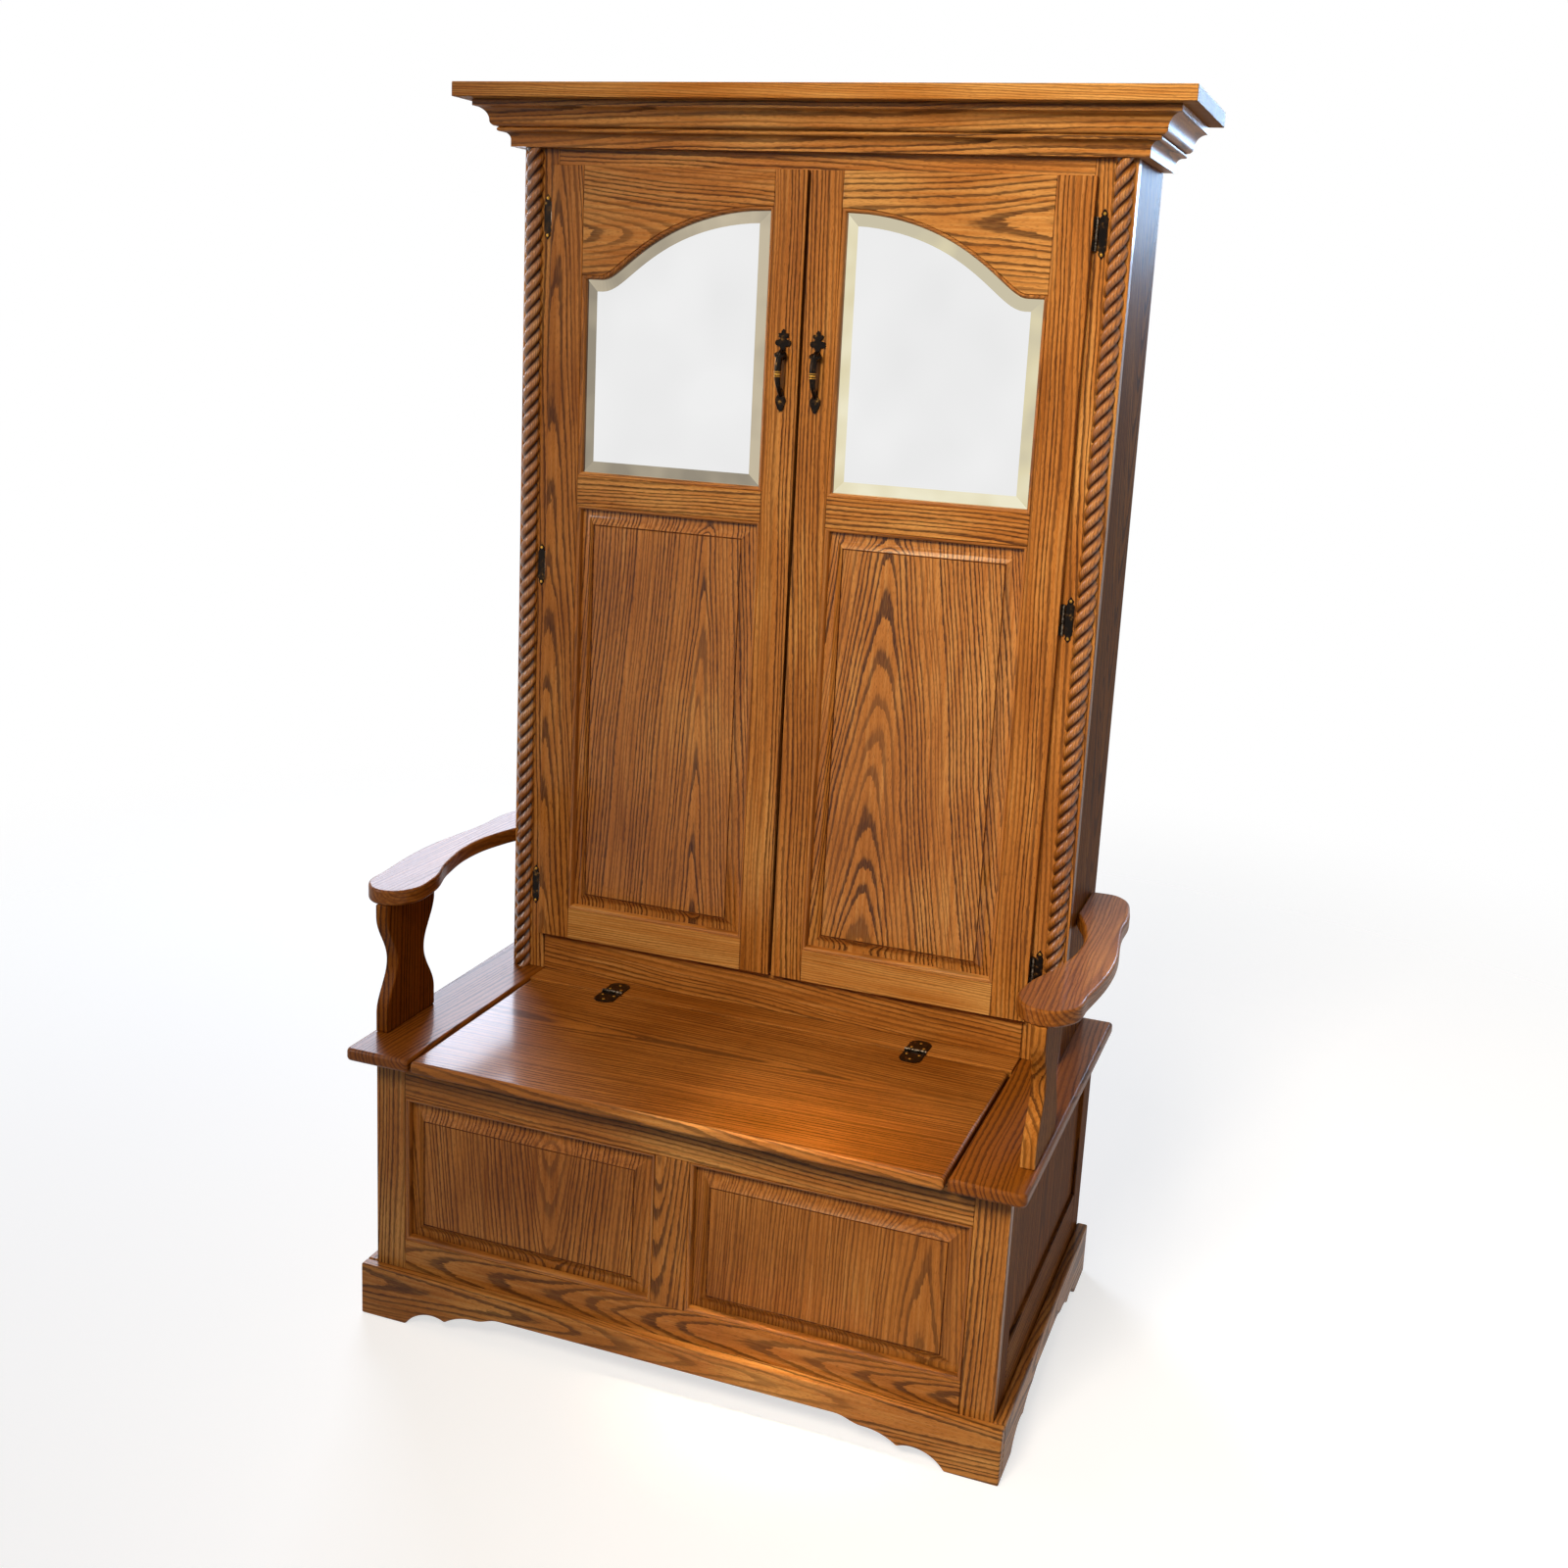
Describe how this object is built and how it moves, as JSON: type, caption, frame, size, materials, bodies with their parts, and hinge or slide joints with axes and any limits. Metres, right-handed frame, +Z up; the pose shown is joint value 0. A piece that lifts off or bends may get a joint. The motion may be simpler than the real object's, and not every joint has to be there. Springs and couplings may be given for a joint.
{
  "type": "hall tree bench",
  "caption": "Oak hall tree bench: a storage chest with a hinged seat lid and curved arms, below a tall cabinet with mirrored doors, rope-carved columns and a crown moulding",
  "frame": {"origin": "on the floor, under the middle of the outer box", "axes": "+Z up, +X to the right of someone who faces the bench, +Y towards the wall behind it"},
  "size_m": [1.136, 0.648, 1.8855],
  "materials": {
    "oak": "golden-stained oak, satin lacquer",
    "oak_ply": "oak-faced plywood, thin lacquer",
    "bronze": "dark oil-rubbed bronze over brass",
    "mirror": "silvered glass with a bevelled edge"
  },
  "bodies": {
    "carcass": {"skirt_front": "oak", "skirt_left": "oak", "skirt_right": "oak", "chest_stile_left": "oak", "chest_stile_right": "oak", "chest_muntin": "oak", "chest_rail_top": "oak", "chest_rail_bottom": "oak", "chest_panel_left": "oak", "chest_panel_right": "oak", "chest_side_left": "oak", "chest_side_right": "oak", "chest_back": "oak_ply", "chest_floor": "oak_ply", "seat_board_left": "oak", "seat_board_right": "oak", "seat_board_rear": "oak", "arm_left": "oak", "arm_right": "oak", "arm_post_left": "oak", "arm_post_right": "oak", "hutch_side_left": "oak", "hutch_side_right": "oak", "hutch_back": "oak_ply", "hutch_stile_left": "oak", "hutch_stile_right": "oak", "hutch_rail_top": "oak", "hutch_rail_bottom": "oak", "rope_column_left": "oak", "rope_column_right": "oak", "top_board": "oak", "crown_front": "oak", "crown_left": "oak", "crown_right": "oak", "frame_leaf_left_top": "bronze", "frame_leaf_left_middle": "bronze", "frame_leaf_left_bottom": "bronze", "frame_leaf_right_top": "bronze", "frame_leaf_right_middle": "bronze", "frame_leaf_right_bottom": "bronze", "lid_hinge_fixed_left": "bronze", "lid_hinge_fixed_right": "bronze"},
    "left_door": {"left_door_frame": "oak", "left_door_panel": "oak", "left_door_mirror": "mirror", "left_door_handle": "bronze", "door_leaf_left_top": "bronze", "door_leaf_left_middle": "bronze", "door_leaf_left_bottom": "bronze"},
    "right_door": {"right_door_frame": "oak", "right_door_panel": "oak", "right_door_mirror": "mirror", "right_door_handle": "bronze", "door_leaf_right_top": "bronze", "door_leaf_right_middle": "bronze", "door_leaf_right_bottom": "bronze"},
    "lid": {"lid": "oak", "lid_hinge_moving_left": "bronze", "lid_hinge_moving_right": "bronze"}
  },
  "joints": [
    {"name": "left_door_hinge", "type": "hinge", "parent": "carcass", "child": "left_door", "pos_m": [-0.4245, 0.103, 1.152], "axis": [0, 0, -1], "range_deg": [0, 95]},
    {"name": "right_door_hinge", "type": "hinge", "parent": "carcass", "child": "right_door", "pos_m": [0.4245, 0.103, 1.152], "axis": [0, 0, 1], "range_deg": [0, 95]},
    {"name": "lid_hinge", "type": "hinge", "parent": "carcass", "child": "lid", "pos_m": [0, 0.0561, 0.4601], "axis": [-1, 0, 0], "range_deg": [0, 95]}
  ]
}
